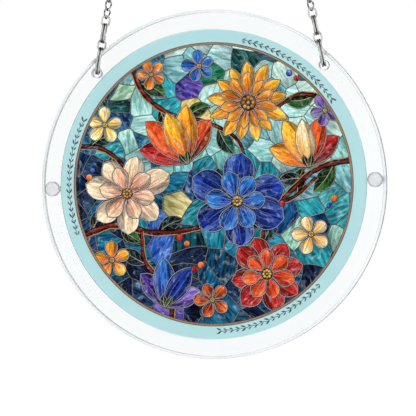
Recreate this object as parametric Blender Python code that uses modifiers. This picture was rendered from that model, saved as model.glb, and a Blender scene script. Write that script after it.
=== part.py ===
"""Round suncatcher: a picture disc held in a clear two-pane frame on two chains.

Metres, +Z up, the picture facing -Y. The origin is the top of the hanging
ring's hole, where the hook bears. Two clear panes close on the picture disc
with two round magnets. A split ring goes through a hole at each shoulder, and
from it a joining link, a smaller split ring, an end link and a curb chain run
up to the hanging ring, where both chains meet.
"""

from math import atan2, ceil, cos, hypot, pi, radians, sin, sqrt, tan

import bmesh
import bpy
from mathutils import Matrix

# Picture and panes
PICTURE_RADIUS = 0.0886
PICTURE_THICKNESS = 0.0025
RECESS_FIT = 0.0004
FRONT_PANE_THICKNESS = 0.003
BACK_WALL = 0.0022
EDGE_BEVEL = 0.0016
TOUCH_GAP = 0.0003

# Magnets in the clear margin, at the level of the centre
MAGNET_RADIUS = 0.004
MAGNET_WALL = 0.0007
MAGNET_SKIN = 0.0008
MAGNET_CHAMFER = 0.0003

# Shoulder holes and the split rings through them
HOLE_ANGLE = radians(45)
HOLE_WALL = 0.0016
HOLE_CLEARANCE = 0.0009
RING_WIRE = 0.0012
COIL_GAP = 0.0001
RING_PLAY = 0.0009
RING_SWIVEL = radians(8)
SPLIT_RAMP = radians(24)
UPPER_RING_RADIUS = 0.0059

# Plain oval links that join rings and chain
LINK_WIRE = 0.00095
LINK_ROOM = 0.0004
LINK_INSIDE_LENGTH = 0.0052

# Curb chain
CHAIN_WIRE = 0.0012
CHAIN_WIDTH = 0.0043
CHAIN_END_WIDTH = 0.0032
CHAIN_PITCH = 0.0048
CHAIN_CONTACT = 0.00042
CHAIN_TWIST = radians(45)
CHAIN_TURN = radians(-10)
INNER_RIDGE = -pi / 2

# Hanging ring and how far its centre stands above the shoulder holes
HANGING_RING_RADIUS = 0.008
HANGING_RING_WIRE = 0.002
HANG_HEIGHT = 0.338

# Facets
DISC_SEGMENTS = 52
HOLE_SEGMENTS = 16
RING_POINTS_PER_TURN = 14
HANGING_RING_POINTS = 18
LINK_END_POINTS = 4
MERGE = 0.00001

# Heights along the disc's own axis, counted from the middle towards the viewer
back_pane_thickness = BACK_WALL + TOUCH_GAP + PICTURE_THICKNESS
total_thickness = FRONT_PANE_THICKNESS + TOUCH_GAP + back_pane_thickness
front_face = total_thickness / 2
front_pane_back = front_face - FRONT_PANE_THICKNESS
joint_face = front_pane_back - TOUCH_GAP
recess_floor = joint_face - PICTURE_THICKNESS - TOUCH_GAP
back_face = -front_face

# Radii in the plane of the disc
recess_radius = PICTURE_RADIUS + RECESS_FIT
pane_radius = recess_radius + 2 * MAGNET_WALL + 2 * MAGNET_RADIUS + EDGE_BEVEL
magnet_circle = recess_radius + MAGNET_WALL + MAGNET_RADIUS
magnet_depth = FRONT_PANE_THICKNESS - MAGNET_SKIN
ring_width = 2 * RING_WIRE + COIL_GAP
ring_reach = ring_width / 2 * cos(RING_SWIVEL) + front_face * tan(RING_SWIVEL)
hole_radius = ring_reach + HOLE_CLEARANCE
hole_circle = recess_radius + HOLE_WALL + hole_radius
hole_x = hole_circle * cos(HOLE_ANGLE)
hole_rise = hole_circle * sin(HOLE_ANGLE)

# Each strand is a straight line from its hole to the hanging ring's centre
strand_lean = atan2(hole_x, HANG_HEIGHT)
strand_length = hypot(hole_x, HANG_HEIGHT)
hanging_ring_z = -(HANGING_RING_RADIUS - HANGING_RING_WIRE / 2)
hole_z = hanging_ring_z - HANG_HEIGHT
disc_z = hole_z - hole_rise

# The lower split ring reaches from the hole past the rim of the panes
rim_turn = cos(HOLE_ANGLE + strand_lean)
rim_distance = sqrt((hole_circle * rim_turn) ** 2 + pane_radius ** 2 - hole_circle ** 2)
rim_distance -= hole_circle * rim_turn
hole_top = sqrt(hole_radius ** 2 - ring_reach ** 2)
ring_chord = (rim_distance - hole_top) / 2 + RING_PLAY
lower_ring_inside = hypot(ring_chord, front_face)
lower_ring_radius = lower_ring_inside + RING_WIRE
upper_ring_inside = UPPER_RING_RADIUS - RING_WIRE

# Places along a strand, counted up from the hole
lower_ring_place = hole_top - TOUCH_GAP + ring_chord
joining_link_place = lower_ring_place + lower_ring_inside - TOUCH_GAP + LINK_INSIDE_LENGTH / 2
upper_ring_place = joining_link_place + LINK_INSIDE_LENGTH / 2 - TOUCH_GAP + upper_ring_inside
end_link_place = upper_ring_place + upper_ring_inside - TOUCH_GAP + LINK_INSIDE_LENGTH / 2
top_link_end = strand_length - HANGING_RING_RADIUS + HANGING_RING_WIRE / 2 + TOUCH_GAP
top_link_place = top_link_end - LINK_INSIDE_LENGTH / 2

# The chain fills what is left with whole links, whose pitch is fitted to it
chain_start = end_link_place + LINK_INSIDE_LENGTH / 2 - TOUCH_GAP - CHAIN_WIRE
chain_end = top_link_place - LINK_INSIDE_LENGTH / 2 + TOUCH_GAP + CHAIN_WIRE
link_overreach = 2 * CHAIN_WIRE - CHAIN_CONTACT
chain_links = round((chain_end - chain_start - link_overreach) / CHAIN_PITCH)
chain_pitch = (chain_end - chain_start - link_overreach) / chain_links
chain_link_length = chain_pitch + link_overreach
chain_first = chain_start + chain_link_length / 2

ACRYLIC = (0.90, 0.95, 0.95)
PICTURE_BLUE = (0.10, 0.36, 0.42)
NICKEL = (0.62, 0.62, 0.61)
STEEL = (0.56, 0.56, 0.57)


def clear_scene():
    """Start from nothing: no objects, and none of their meshes or curves."""
    for leftover in list(bpy.data.objects):
        bpy.data.objects.remove(leftover, do_unlink=True)
    for store in (bpy.data.meshes, bpy.data.curves):
        for block in list(store):
            store.remove(block)


def collection(name):
    """A new collection in the scene."""
    made = bpy.data.collections.new(name)
    bpy.context.scene.collection.children.link(made)
    return made


def finish(name, colour, roughness, metallic, transmission=0.0):
    """A Principled material with plain values."""
    material = bpy.data.materials.new(name)
    material.use_nodes = True
    shader = material.node_tree.nodes["Principled BSDF"]
    shader.inputs["Base Color"].default_value = (*colour, 1.0)
    shader.inputs["Roughness"].default_value = roughness
    shader.inputs["Metallic"].default_value = metallic
    shader.inputs["Transmission Weight"].default_value = transmission
    material.diffuse_color = (*colour, 1.0)
    material.metallic = metallic
    material.roughness = roughness
    return material


def place(thing, group, parent=None, location=(0, 0, 0), rotation=(0, 0, 0), material=None):
    """Put an object in its collection, under its parent, with its material."""
    group.objects.link(thing)
    thing.parent = parent
    thing.location = location
    thing.rotation_euler = rotation
    if material is not None:
        thing.data.materials.append(material)
    return thing


def hide_guide(thing):
    """Cutters and guides are wires that never render."""
    thing.hide_render = True
    thing.display_type = "WIRE"


def mesh_object(name, build):
    """A mesh object whose faces come from a function that fills a bmesh."""
    mesh = bpy.data.meshes.new(name)
    work = bmesh.new()
    build(work)
    work.to_mesh(mesh)
    work.free()
    return bpy.data.objects.new(name, mesh)


def turned(name, profile, segments):
    """A turned solid: (radius, height) points from the top centre, down the outside, to the bottom."""
    mesh = bpy.data.meshes.new(name)
    vertices = [(radius, 0, height) for radius, height in profile]
    edges = [(i, i + 1) for i in range(len(profile) - 1)]
    mesh.from_pydata(vertices, edges, [])
    thing = bpy.data.objects.new(name, mesh)
    screw = thing.modifiers.new("turn", "SCREW")
    screw.steps = segments
    screw.render_steps = segments
    screw.use_merge_vertices = True
    screw.merge_threshold = MERGE
    return thing


def rod(name, radius, length, segments=HOLE_SEGMENTS):
    """An upright cylinder about its own middle."""
    return mesh_object(name, lambda work: bmesh.ops.create_cone(
        work, cap_ends=True, segments=segments, radius1=radius, radius2=radius, depth=length))


def subtract(body, cutter):
    """Cut one object with another by an exact Boolean."""
    cut = body.modifiers.new("cut " + cutter.name, "BOOLEAN")
    cut.operation = "DIFFERENCE"
    cut.solver = "EXACT"
    cut.object = cutter


def section(sides, thickness, first):
    """A small polygon curve that a wire is drawn along, its first corner at the given turn."""
    curve = bpy.data.curves.new("section", "CURVE")
    curve.dimensions = "2D"
    spline = curve.splines.new("POLY")
    spline.points.add(sides - 1)
    for i, slot in enumerate(spline.points):
        turn = first + 2 * pi * i / sides
        slot.co = (thickness / 2 * cos(turn), thickness / 2 * sin(turn), 0, 1)
    spline.use_cyclic_u = True
    return bpy.data.objects.new("section", curve)


def wire(name, points, thickness, closed, sides=4, first=0.0):
    """Wire along a list of points as a mesh, with welded ends if it is open."""
    profile = section(sides, thickness, first)
    curve = bpy.data.curves.new(name, "CURVE")
    curve.dimensions = "3D"
    curve.bevel_mode = "OBJECT"
    curve.bevel_object = profile
    curve.use_fill_caps = not closed
    spline = curve.splines.new("POLY")
    spline.points.add(len(points) - 1)
    for slot, point in zip(spline.points, points):
        slot.co = (*point, 1)
    spline.use_cyclic_u = closed
    path = bpy.data.objects.new(name, curve)
    for helper in (profile, path):
        bpy.context.scene.collection.objects.link(helper)
    bpy.context.view_layer.update()
    evaluated = path.evaluated_get(bpy.context.evaluated_depsgraph_get())
    mesh = bpy.data.meshes.new_from_object(evaluated)
    work = bmesh.new()
    work.from_mesh(mesh)
    bmesh.ops.remove_doubles(work, verts=work.verts, dist=MERGE)
    bmesh.ops.recalc_face_normals(work, faces=work.faces)
    work.to_mesh(mesh)
    work.free()
    for helper in (profile, path):
        bpy.data.objects.remove(helper, do_unlink=True)
    return mesh


def split_ring_path(outside_radius):
    """Two flat turns of wire side by side round the X axis, joined by one ramp.

    Both ends stop short of the ramp, because only one wire has room there.
    """
    radius = outside_radius - RING_WIRE / 2
    shift = (RING_WIRE + COIL_GAP) / 2
    start = SPLIT_RAMP / 2
    steps = 2 * RING_POINTS_PER_TURN
    points = []
    for i in range(steps + 1):
        turn = start + (4 * pi - 2 * start) * i / steps
        ramp = (turn - (2 * pi - SPLIT_RAMP / 2)) / SPLIT_RAMP
        side = shift * (2 * min(max(ramp, 0), 1) - 1)
        points.append((side, radius * cos(turn), radius * sin(turn)))
    return points


def oval_path(inside_length, inside_width, thickness):
    """A flat oval in the XZ plane: two half circles joined by straight sides."""
    end_radius = (inside_width + thickness) / 2
    straight = (inside_length - inside_width) / 2
    points = []
    for end in (1, -1):
        for i in range(LINK_END_POINTS):
            turn = pi * i / (LINK_END_POINTS - 1)
            points.append((end * end_radius * cos(turn), 0, end * (straight + end_radius * sin(turn))))
    return points


def curb_link():
    """One curb link: a flat six-sided loop, then twisted along its length.

    Each end stands at CHAIN_TWIST to the middle, so the ends of two
    neighbours cross squarely.
    """
    half_length = (chain_link_length - CHAIN_WIRE) / 2
    half_width = (CHAIN_WIDTH - CHAIN_WIRE) / 2
    half_end = (CHAIN_END_WIDTH - CHAIN_WIRE) / 2
    outline = [(half_end, half_length), (half_width, 0), (half_end, -half_length),
               (-half_end, -half_length), (-half_width, 0), (-half_end, half_length)]
    points = [(across, 0, along) for across, along in outline]
    mesh = wire("curb_link", points, CHAIN_WIRE, closed=True, sides=3, first=INNER_RIDGE)
    for vertex in mesh.vertices:
        turn = CHAIN_TWIST * vertex.co.z / half_length
        vertex.co = Matrix.Rotation(turn, 3, "Z") @ vertex.co
    return mesh


def make_panes(parts, cutters, disc, acrylic):
    """Both panes, turned, then drilled for the rings and pocketed for the magnets."""
    rim = pane_radius - EDGE_BEVEL
    front = turned("front_pane", [
        (0, front_face),
        (rim, front_face),
        (pane_radius, front_face - EDGE_BEVEL),
        (pane_radius, front_pane_back),
        (0, front_pane_back),
    ], DISC_SEGMENTS)
    back = turned("back_pane", [
        (0, recess_floor),
        (recess_radius, recess_floor),
        (recess_radius, joint_face),
        (pane_radius, joint_face),
        (pane_radius, back_face + EDGE_BEVEL),
        (rim, back_face),
        (0, back_face),
    ], DISC_SEGMENTS)
    place(front, parts, disc, material=acrylic)
    place(back, parts, disc, material=acrylic)
    joint_middle = (front_pane_back + joint_face) / 2
    pocket_length = 2 * magnet_depth + TOUCH_GAP
    for side, name in ((-1, "left"), (1, "right")):
        drill = rod("hole_cutter_" + name, hole_radius, 2 * total_thickness)
        place(drill, cutters, disc, location=(side * hole_x, hole_rise, 0))
        pocket = rod("pocket_cutter_" + name, MAGNET_RADIUS + TOUCH_GAP, pocket_length)
        place(pocket, cutters, disc, location=(side * magnet_circle, 0, joint_middle))
        for cutter in (drill, pocket):
            hide_guide(cutter)
            subtract(front, cutter)
            subtract(back, cutter)


def make_picture(parts, disc, material):
    """The flat picture disc that lies in the back pane's recess."""
    picture = turned("picture_disc", [
        (0, joint_face),
        (PICTURE_RADIUS, joint_face),
        (PICTURE_RADIUS, joint_face - PICTURE_THICKNESS),
        (0, joint_face - PICTURE_THICKNESS),
    ], DISC_SEGMENTS)
    place(picture, parts, disc, material=material)


def make_magnets(parts, disc, material):
    """A round magnet each side, seated in the pockets of both panes."""
    joint_middle = (front_pane_back + joint_face) / 2
    half = magnet_depth - TOUCH_GAP / 2
    for side, name in ((-1, "left"), (1, "right")):
        magnet = turned("magnet_" + name, [
            (0, half),
            (MAGNET_RADIUS - MAGNET_CHAMFER, half),
            (MAGNET_RADIUS, half - MAGNET_CHAMFER),
            (MAGNET_RADIUS, MAGNET_CHAMFER - half),
            (MAGNET_RADIUS - MAGNET_CHAMFER, -half),
            (0, -half),
        ], HOLE_SEGMENTS)
        place(magnet, parts, disc, location=(side * magnet_circle, 0, joint_middle), material=material)


def make_chain(name, parts, cutters, strand, link, material):
    """Every second link as one array, joined to the links between by a union."""
    between = bpy.data.objects.new(name + "_links_between", link)
    turn = (0, 0, CHAIN_TURN)
    place(between, cutters, strand, (0, 0, chain_first + chain_pitch), turn)
    hide_guide(between)
    chain = bpy.data.objects.new(name, link.copy())
    place(chain, parts, strand, (0, 0, chain_first), turn, material)
    for thing, count in ((chain, ceil(chain_links / 2)), (between, chain_links // 2)):
        array = thing.modifiers.new("links", "ARRAY")
        array.count = count
        array.use_relative_offset = False
        array.use_constant_offset = True
        array.constant_offset_displace = (0, 0, 2 * chain_pitch)
    union = chain.modifiers.new("joined links", "BOOLEAN")
    union.operation = "UNION"
    union.solver = "EXACT"
    union.object = between


def make_strand(side, name, parts, cutters, link, nickel, steel):
    """All that hangs on one line from a shoulder hole to the hanging ring."""
    strand = bpy.data.objects.new("strand_" + name, None)
    place(strand, parts, location=(side * hole_x, 0, hole_z), rotation=(0, -side * strand_lean, 0))
    swivel = (0, 0, RING_SWIVEL)
    rings = (("lower_ring_", lower_ring_radius, lower_ring_place),
             ("upper_ring_", UPPER_RING_RADIUS, upper_ring_place))
    for label, radius, height in rings:
        mesh = wire(label + name, split_ring_path(radius), RING_WIRE, closed=False)
        ring = bpy.data.objects.new(label + name, mesh)
        place(ring, parts, strand, (0, 0, height), swivel, nickel)
    inside_width = ring_width + 2 * LINK_ROOM
    links = (("joining_link_", joining_link_place, RING_SWIVEL),
             ("end_link_", end_link_place, RING_SWIVEL),
             ("top_link_", top_link_place, pi / 2))
    for label, height, turn in links:
        path = oval_path(LINK_INSIDE_LENGTH, inside_width, LINK_WIRE)
        oval = bpy.data.objects.new(label + name, wire(label + name, path, LINK_WIRE, closed=True))
        place(oval, parts, strand, (0, 0, height), (0, 0, turn), nickel)
    make_chain("chain_" + name, parts, cutters, strand, link, steel)


def make_hanging_ring(parts, material):
    """The plain ring that goes on the hook."""
    points = []
    for i in range(HANGING_RING_POINTS):
        turn = 2 * pi * i / HANGING_RING_POINTS
        points.append((HANGING_RING_RADIUS * sin(turn), 0, HANGING_RING_RADIUS * cos(turn)))
    mesh = wire("hanging_ring", points, HANGING_RING_WIRE, closed=True, sides=6)
    ring = bpy.data.objects.new("hanging_ring", mesh)
    place(ring, parts, location=(0, 0, hanging_ring_z), material=material)


def main():
    clear_scene()
    parts = collection("round_suncatcher")
    cutters = collection("cutters")
    acrylic = finish("clear_acrylic", ACRYLIC, 0.05, 0.0, transmission=1.0)
    printed = finish("printed_picture", PICTURE_BLUE, 0.3, 0.0)
    nickel = finish("nickel_plate", NICKEL, 0.15, 1.0)
    steel = finish("steel_chain", STEEL, 0.2, 1.0)

    disc = bpy.data.objects.new("disc_centre", None)
    place(disc, parts, location=(0, 0, disc_z), rotation=(pi / 2, 0, 0))
    make_panes(parts, cutters, disc, acrylic)
    make_picture(parts, disc, printed)
    make_magnets(parts, disc, nickel)
    link = curb_link()
    for side, name in ((-1, "left"), (1, "right")):
        make_strand(side, name, parts, cutters, link, nickel, steel)
    make_hanging_ring(parts, nickel)


main()
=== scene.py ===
# %% [markdown]
# # A round stained-glass suncatcher
#
# The real object is a flat printed disc, shut between two clear acrylic panes
# and hung by two chains. Everything here is built around a frame of solids that
# somebody else has already measured, so the first step is to load that frame.

# %% Load the frame
from math import atan2, cos, hypot, pi, radians, sin, sqrt, tan

import bmesh
import bpy
import numpy as np
from mathutils import Matrix, Vector
from mathutils.geometry import delaunay_2d_cdt


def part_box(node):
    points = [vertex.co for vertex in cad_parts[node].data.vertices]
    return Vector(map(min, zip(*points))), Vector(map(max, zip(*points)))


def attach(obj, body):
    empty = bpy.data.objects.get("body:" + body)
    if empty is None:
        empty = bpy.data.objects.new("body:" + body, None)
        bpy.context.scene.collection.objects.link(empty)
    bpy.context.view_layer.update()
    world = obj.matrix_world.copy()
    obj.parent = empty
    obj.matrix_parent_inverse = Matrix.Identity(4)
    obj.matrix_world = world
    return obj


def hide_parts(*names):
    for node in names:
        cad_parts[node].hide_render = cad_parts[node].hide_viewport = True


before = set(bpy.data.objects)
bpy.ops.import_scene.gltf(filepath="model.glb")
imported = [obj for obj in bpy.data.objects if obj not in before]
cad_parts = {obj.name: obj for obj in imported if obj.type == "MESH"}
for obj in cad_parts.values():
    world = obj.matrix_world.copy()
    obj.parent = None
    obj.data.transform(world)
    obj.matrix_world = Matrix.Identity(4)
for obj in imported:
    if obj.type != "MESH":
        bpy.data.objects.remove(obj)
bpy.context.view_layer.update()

MM = 0.001
print("nodes in the frame:", len(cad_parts))

# %% [markdown]
# ## The measures of the disc
#
# The disc hangs upright and faces -Y. Its boxes give the radii and the depths,
# so no piece can drift away from the solid that it stands for. Depths are
# values of y: the more negative, the nearer to the viewer.

# %% Read the disc's measures from the frame
front_low, front_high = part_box("front_pane")
back_low, back_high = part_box("back_pane")
print_low, print_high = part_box("picture_disc")

pane_radius = (front_high.x - front_low.x) / 2
picture_radius = (print_high.x - print_low.x) / 2
disc_z = (print_high.z + print_low.z) / 2
face_front, face_back = front_low.y, back_high.y
front_pane_inside, back_pane_inside = front_high.y, back_low.y
picture_front, picture_back = print_low.y, print_high.y
edge_bevel = 1.6 * MM
touch_gap = 0.3 * MM
recess_radius = picture_radius + 0.4 * MM
recess_floor = picture_back + touch_gap
print(f"panes {2000 * pane_radius:.1f} mm across, {1000 * (face_back - face_front):.1f} mm thick")

# %% [markdown]
# ## The measures of a hanging strand
#
# Each strand is a straight line from a hole in the disc's shoulder up to the
# centre of the hanging ring. Rings, links and chain are counted along that line.
# The values repeat those of the solids.

# %% Work out the strand
ring_wire = 1.2 * MM
coil_gap = 0.1 * MM
ring_swivel = radians(8)
upper_ring_radius = 5.9 * MM
link_wire = 0.95 * MM
link_room = 0.4 * MM
link_inside = 5.2 * MM
hanging_radius = 8 * MM
hanging_wire = 2 * MM
hang_height = 338 * MM
ring_width = 2 * ring_wire + coil_gap
ring_reach = ring_width / 2 * cos(ring_swivel) + abs(face_front) * tan(ring_swivel)
hole_radius = ring_reach + 0.9 * MM
hole_circle = recess_radius + 1.6 * MM + hole_radius
hole_x = hole_circle * cos(radians(45))
hole_z = disc_z + hole_x
strand_lean = atan2(hole_x, hang_height)
strand_length = hypot(hole_x, hang_height)
rim_turn = cos(radians(45) + strand_lean)
rim_distance = sqrt((hole_circle * rim_turn) ** 2 + pane_radius ** 2 - hole_circle ** 2)
rim_distance -= hole_circle * rim_turn
hole_top = sqrt(hole_radius ** 2 - ring_reach ** 2)
ring_chord = (rim_distance - hole_top) / 2 + 0.9 * MM
lower_ring_inside = hypot(ring_chord, face_front)
lower_ring_radius = lower_ring_inside + ring_wire
lower_ring_at = hole_top - touch_gap + ring_chord
joining_link_at = lower_ring_at + lower_ring_inside - touch_gap + link_inside / 2
upper_ring_at = joining_link_at + link_inside / 2 - touch_gap + upper_ring_radius - ring_wire
end_link_at = upper_ring_at + upper_ring_radius - ring_wire - touch_gap + link_inside / 2
top_link_at = strand_length - hanging_radius + hanging_wire / 2 + touch_gap - link_inside / 2
print(f"holes {2000 * hole_radius:.2f} mm wide, strands lean {strand_lean * 180 / pi:.2f} degrees")

# %% [markdown]
# ## The camera
#
# The photograph was taken from far away with a long lens, because the two sides
# of the disc look equally large. It stands a little to the right of the disc,
# level with it, and leans by a degree and a half. The camera goes first, so that
# each later piece can be looked at from the camera's place.

# %% Place the camera
camera_distance = 1.70
camera_yaw = radians(9.9)
camera_roll = radians(1.6)
pixels_per_metre = 1749.0
centre_offset = Vector((3.9, 23.7)) / pixels_per_metre
ahead = Vector((-sin(camera_yaw), cos(camera_yaw), 0))
level = Vector((cos(camera_yaw), sin(camera_yaw), 0))
upright = Vector((0, 0, 1))
camera_up = upright * cos(camera_roll) + level * sin(camera_roll)
camera_right = level * cos(camera_roll) - upright * sin(camera_roll)
camera_data = bpy.data.cameras.new("camera")
camera_data.sensor_width = 36
camera_data.lens = pixels_per_metre * camera_distance * 36 / 416
camera = bpy.data.objects.new("camera", camera_data)
bpy.context.scene.collection.objects.link(camera)
spot = Vector((0, face_front, disc_z)) - ahead * camera_distance
spot -= camera_right * centre_offset.x + camera_up * centre_offset.y
axes = Matrix((camera_right, camera_up, -ahead)).transposed()
camera.matrix_world = Matrix.Translation(spot) @ axes.to_4x4()
bpy.context.scene.camera = camera
print(f"lens {camera_data.lens:.0f} mm at {camera_distance:.2f} m")

# %% [markdown]
# ## Writing materials as sums
#
# A material is a net of nodes. Placing each node by hand makes long code that
# hides the idea. One small class wraps an output socket and teaches Python's
# operators to add Math nodes, so `1 - mask` or `streaks * 0.4` read like sums.
# Its other methods add the kinds of node that these materials use most.

# %% A socket that can be used in sums
class Wire:
    """An output socket of a material. Sums with it add Math nodes."""

    def __init__(self, tree, socket=None):
        self.tree = tree
        self.socket = socket

    def node(self, kind, settings=None, sockets=None, output=0):
        """Add a node: its settings first, then the values or wires of its sockets."""
        made = self.tree.nodes.new(kind)
        for name, value in (settings or {}).items():
            if name == "stops":
                ramp = made.color_ramp
                while len(ramp.elements) < len(value):
                    ramp.elements.new(1.0)
                for element, (place, colour) in zip(ramp.elements, value):
                    element.position = place
                    element.color = (*colour, 1.0)
            else:
                setattr(made, name, value)
        for name, value in (sockets or {}).items():
            if isinstance(value, Wire):
                self.tree.links.new(value.socket, made.inputs[name])
            else:
                made.inputs[name].default_value = value
        return Wire(self.tree, made.outputs[output] if made.outputs else None)

    def maths(self, operation, *values):
        """A Math node of this wire and the values given."""
        return self.node("ShaderNodeMath", {"operation": operation}, dict(enumerate((self, *values))))

    def __add__(self, other):
        return self.maths("ADD", other)

    def __sub__(self, other):
        return self.maths("SUBTRACT", other)

    def __mul__(self, other):
        return self.maths("MULTIPLY", other)

    def __rsub__(self, other):
        return self.maths("MULTIPLY_ADD", -1.0, other)

    def between(self, low, high):
        """0 below low, 1 above high, and smooth between."""
        return self.node("ShaderNodeMapRange", {"interpolation_type": "SMOOTHSTEP"},
                         {"Value": self, "From Min": low, "From Max": high})

    def mix(self, first, second):
        """Go from the first colour to the second as this wire goes from 0 to 1."""
        return self.node("ShaderNodeMix", {"data_type": "RGBA"},
                         {0: self, 6: first, 7: second}, output=2)

    def scaled(self, factor):
        """This colour or vector times one number."""
        return self.node("ShaderNodeVectorMath", {"operation": "SCALE"}, {0: self, "Scale": factor})

    def noise(self, scale, detail, distortion=0.0, output=0):
        """A noise texture over this vector: output 0 is a number, 1 a colour."""
        return self.node("ShaderNodeTexNoise", None, {
            "Vector": self, "Scale": scale, "Detail": detail, "Distortion": distortion}, output)

    def attribute(self, name, output):
        """A mesh attribute: output 0 is a colour, 1 a vector, 2 a number, 3 an alpha."""
        return self.node("ShaderNodeAttribute", {"attribute_name": name}, output=output)


def rgb(red, green, blue):
    """A screen colour of 0 to 255 as the linear light that shaders count in."""
    screen = np.array((red, green, blue)) / 255
    return np.where(screen <= 0.04045, screen / 12.92, ((screen + 0.055) / 1.055) ** 2.4)


def shade(red, green, blue):
    """The same, with the fourth value that a colour socket wants."""
    return (*rgb(red, green, blue).tolist(), 1.0)


def new_material(name):
    """An empty material: a wire to build with, and a function that ends it in a Principled shader."""
    material = bpy.data.materials.new(name)
    material.use_nodes = True
    tree = material.node_tree
    tree.nodes.clear()
    start = Wire(tree)

    def end(sockets):
        """Close the net with a Principled shader that has these sockets."""
        surface = start.node("ShaderNodeBsdfPrincipled", None, sockets)
        start.node("ShaderNodeOutputMaterial", None, {"Surface": surface})
        return material

    return start, end


# %% [markdown]
# ## Clear acrylic
#
# The panes are cut from cast acrylic sheet, and one function makes its three
# finishes. The faces are polished and fully clear, with a very faint haze of
# wiping marks. The drilled walls stay as the tool leaves them, matt, and their
# grey is painted shade, which makes the holes look shaded. The outer edge is cut
# and then polished by flame, which leaves it shiny; its milky grey tint is
# painted shade, so that it shows as a thin grey line round the disc.

# %% Materials of the panes
def make_acrylic(name, colour, pale, haze, haze_change, ripple, clear=1.0):
    """Plastic between two colours, whose haze and surface change a little over the sheet."""
    start, end = new_material(name)
    place = start.node("ShaderNodeTexCoord", output=3)
    patches = place.noise(45.0, 3.0)
    bump = start.node("ShaderNodeBump", None, {
        "Strength": ripple, "Distance": 0.0001, "Height": place.noise(900.0, 2.0)})
    return end({
        "Base Color": patches.mix(shade(*colour), shade(*pale)),
        "Roughness": patches.between(0.45, 0.75) * haze_change + haze,
        "Normal": bump,
        "IOR": 1.49,
        "Transmission Weight": clear,
    })


WHITE = (255, 255, 255)
acrylic = make_acrylic("clear_acrylic", (250, 253, 253), WHITE, 0.0, 0.02, 0.01)
# Drilled walls: matt plastic whose grey is painted shade, for shaded holes.
cut_acrylic_painted_shade = make_acrylic("cut_acrylic_painted_shade", (172, 173, 175), WHITE, 0.5, 0.25, 0.6, 0.25)
# Edge faces: shiny plastic with a grey tint of painted shade, for the thin grey line round the disc.
edge_acrylic_painted_shade = make_acrylic("acrylic_edge_painted_shade", (168, 174, 178), (208, 212, 215), 0.02, 0.05, 0.05, 0.6)

# %% [markdown]
# ## Nickel plate, steel chain and magnets
#
# Plated wire is bright, but never a perfect mirror: it has fine draw marks and
# cloudy patches of handling. One function makes all metals, and each gets its
# own brightness, blur and size of patches. The magnets are rougher and mottled.
# Where a mesh carries the attribute of painted shade, the metal darkens with it: shade painted into the
# colour in grooves and at edges.

# %% Materials of the metal pieces
def make_metal(name, light, dark, blur, blur_change, patch_size, scratch, metallic=1.0):
    """Metal between two colours, with cloudy blur and fine marks."""
    start, end = new_material(name)
    place = start.node("ShaderNodeTexCoord", output=3)
    clouds = place.noise(1 / patch_size, 4.0, 0.6)
    grains = place.noise(9 / patch_size, 3.0)
    marks = start.node("ShaderNodeBump", None, {
        "Strength": scratch, "Distance": 0.00005, "Height": grains})
    wear = (clouds * 0.65 + grains * 0.35).between(0.36, 0.66)
    # Painted shade: the colour darkens towards near black where the mesh's attribute says, in grooves
    # and at edges.
    crevice = start.attribute("crevice", 2)
    return end({
        "Base Color": crevice.mix(wear.mix(shade(*dark), shade(*light)), shade(26, 25, 24)),
        "Metallic": metallic,
        "Roughness": wear * -blur_change + (blur + blur_change),
        "Normal": marks,
    })


nickel = make_metal("nickel_plate", (226, 226, 224), (178, 178, 176), 0.10, 0.12, 3 * MM, 0.15)
steel = make_metal("steel_chain", (182, 183, 186), (100, 102, 106), 0.14, 0.16, 2 * MM, 0.2)
magnet_metal = make_metal("magnet_plate", (254, 254, 254), (236, 236, 238),
                          0.38, 0.2, 1.2 * MM, 0.5, 0.3)

# %% [markdown]
# ## Surfaces from grids of points
#
# Nearly every piece is one surface over a grid: a profile that is turned round
# an axis, or a small section carried along a path. The points are worked out as
# whole arrays. One function then sews a grid into faces, closing it round one
# or both ways, and caps its open ends.

# %% Sew a grid of points into a mesh
def sew(points, loop_rows, caps):
    """Faces over points[row, column]: columns always close round, rows if asked.

    The face between two rows and two columns has the corners (r, c), (r, c+1),
    (r+1, c+1), (r+1, c). Returns the flat vertex array and a list of faces.
    """
    rows, columns = points.shape[:2]
    index = np.arange(rows * columns).reshape(rows, columns)
    below = np.roll(index, -1, axis=0) if loop_rows else index[1:]
    here = index if loop_rows else index[:-1]
    faces = np.stack([here, np.roll(here, -1, axis=1), np.roll(below, -1, axis=1), below], axis=-1)
    faces = faces.reshape(-1, 4).tolist()
    if caps:
        faces.append(index[0][::-1].tolist())
        faces.append(index[-1].tolist())
    return points.reshape(-1, 3), faces


def make_piece(name, vertices, faces, material, sharp=30.0):
    """A mesh object at the origin, smooth but for edges sharper than the angle."""
    mesh = bpy.data.meshes.new(name)
    mesh.from_pydata(np.asarray(vertices).tolist(), [], faces)
    work = bmesh.new()
    work.from_mesh(mesh)
    bmesh.ops.recalc_face_normals(work, faces=work.faces)
    work.to_mesh(mesh)
    work.free()
    mesh.shade_smooth()
    mesh.set_sharp_from_angle(angle=radians(sharp))
    mesh.materials.append(material)
    piece = bpy.data.objects.new(name, mesh)
    bpy.context.scene.collection.objects.link(piece)
    return piece


def store(mesh, name, kind, domain, values):
    """Keep an array in the mesh as an attribute that a material can read by its name."""
    key = {"FLOAT": "value", "FLOAT_COLOR": "color", "FLOAT_VECTOR": "vector"}[kind]
    mesh.attributes.new(name, kind, domain).data.foreach_set(key, values.astype(np.float32).ravel())


def adopt(piece, node):
    """Let a finished piece stand for its node, and say how large it is."""
    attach(piece, "root")
    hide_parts(node)
    print(f"{piece.name}: {len(piece.data.polygons)} faces")


# %% [markdown]
# A turned piece starts from a profile of corners. Real corners are never
# knife-sharp, so each is eased by a short curve before the profile is turned.

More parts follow.
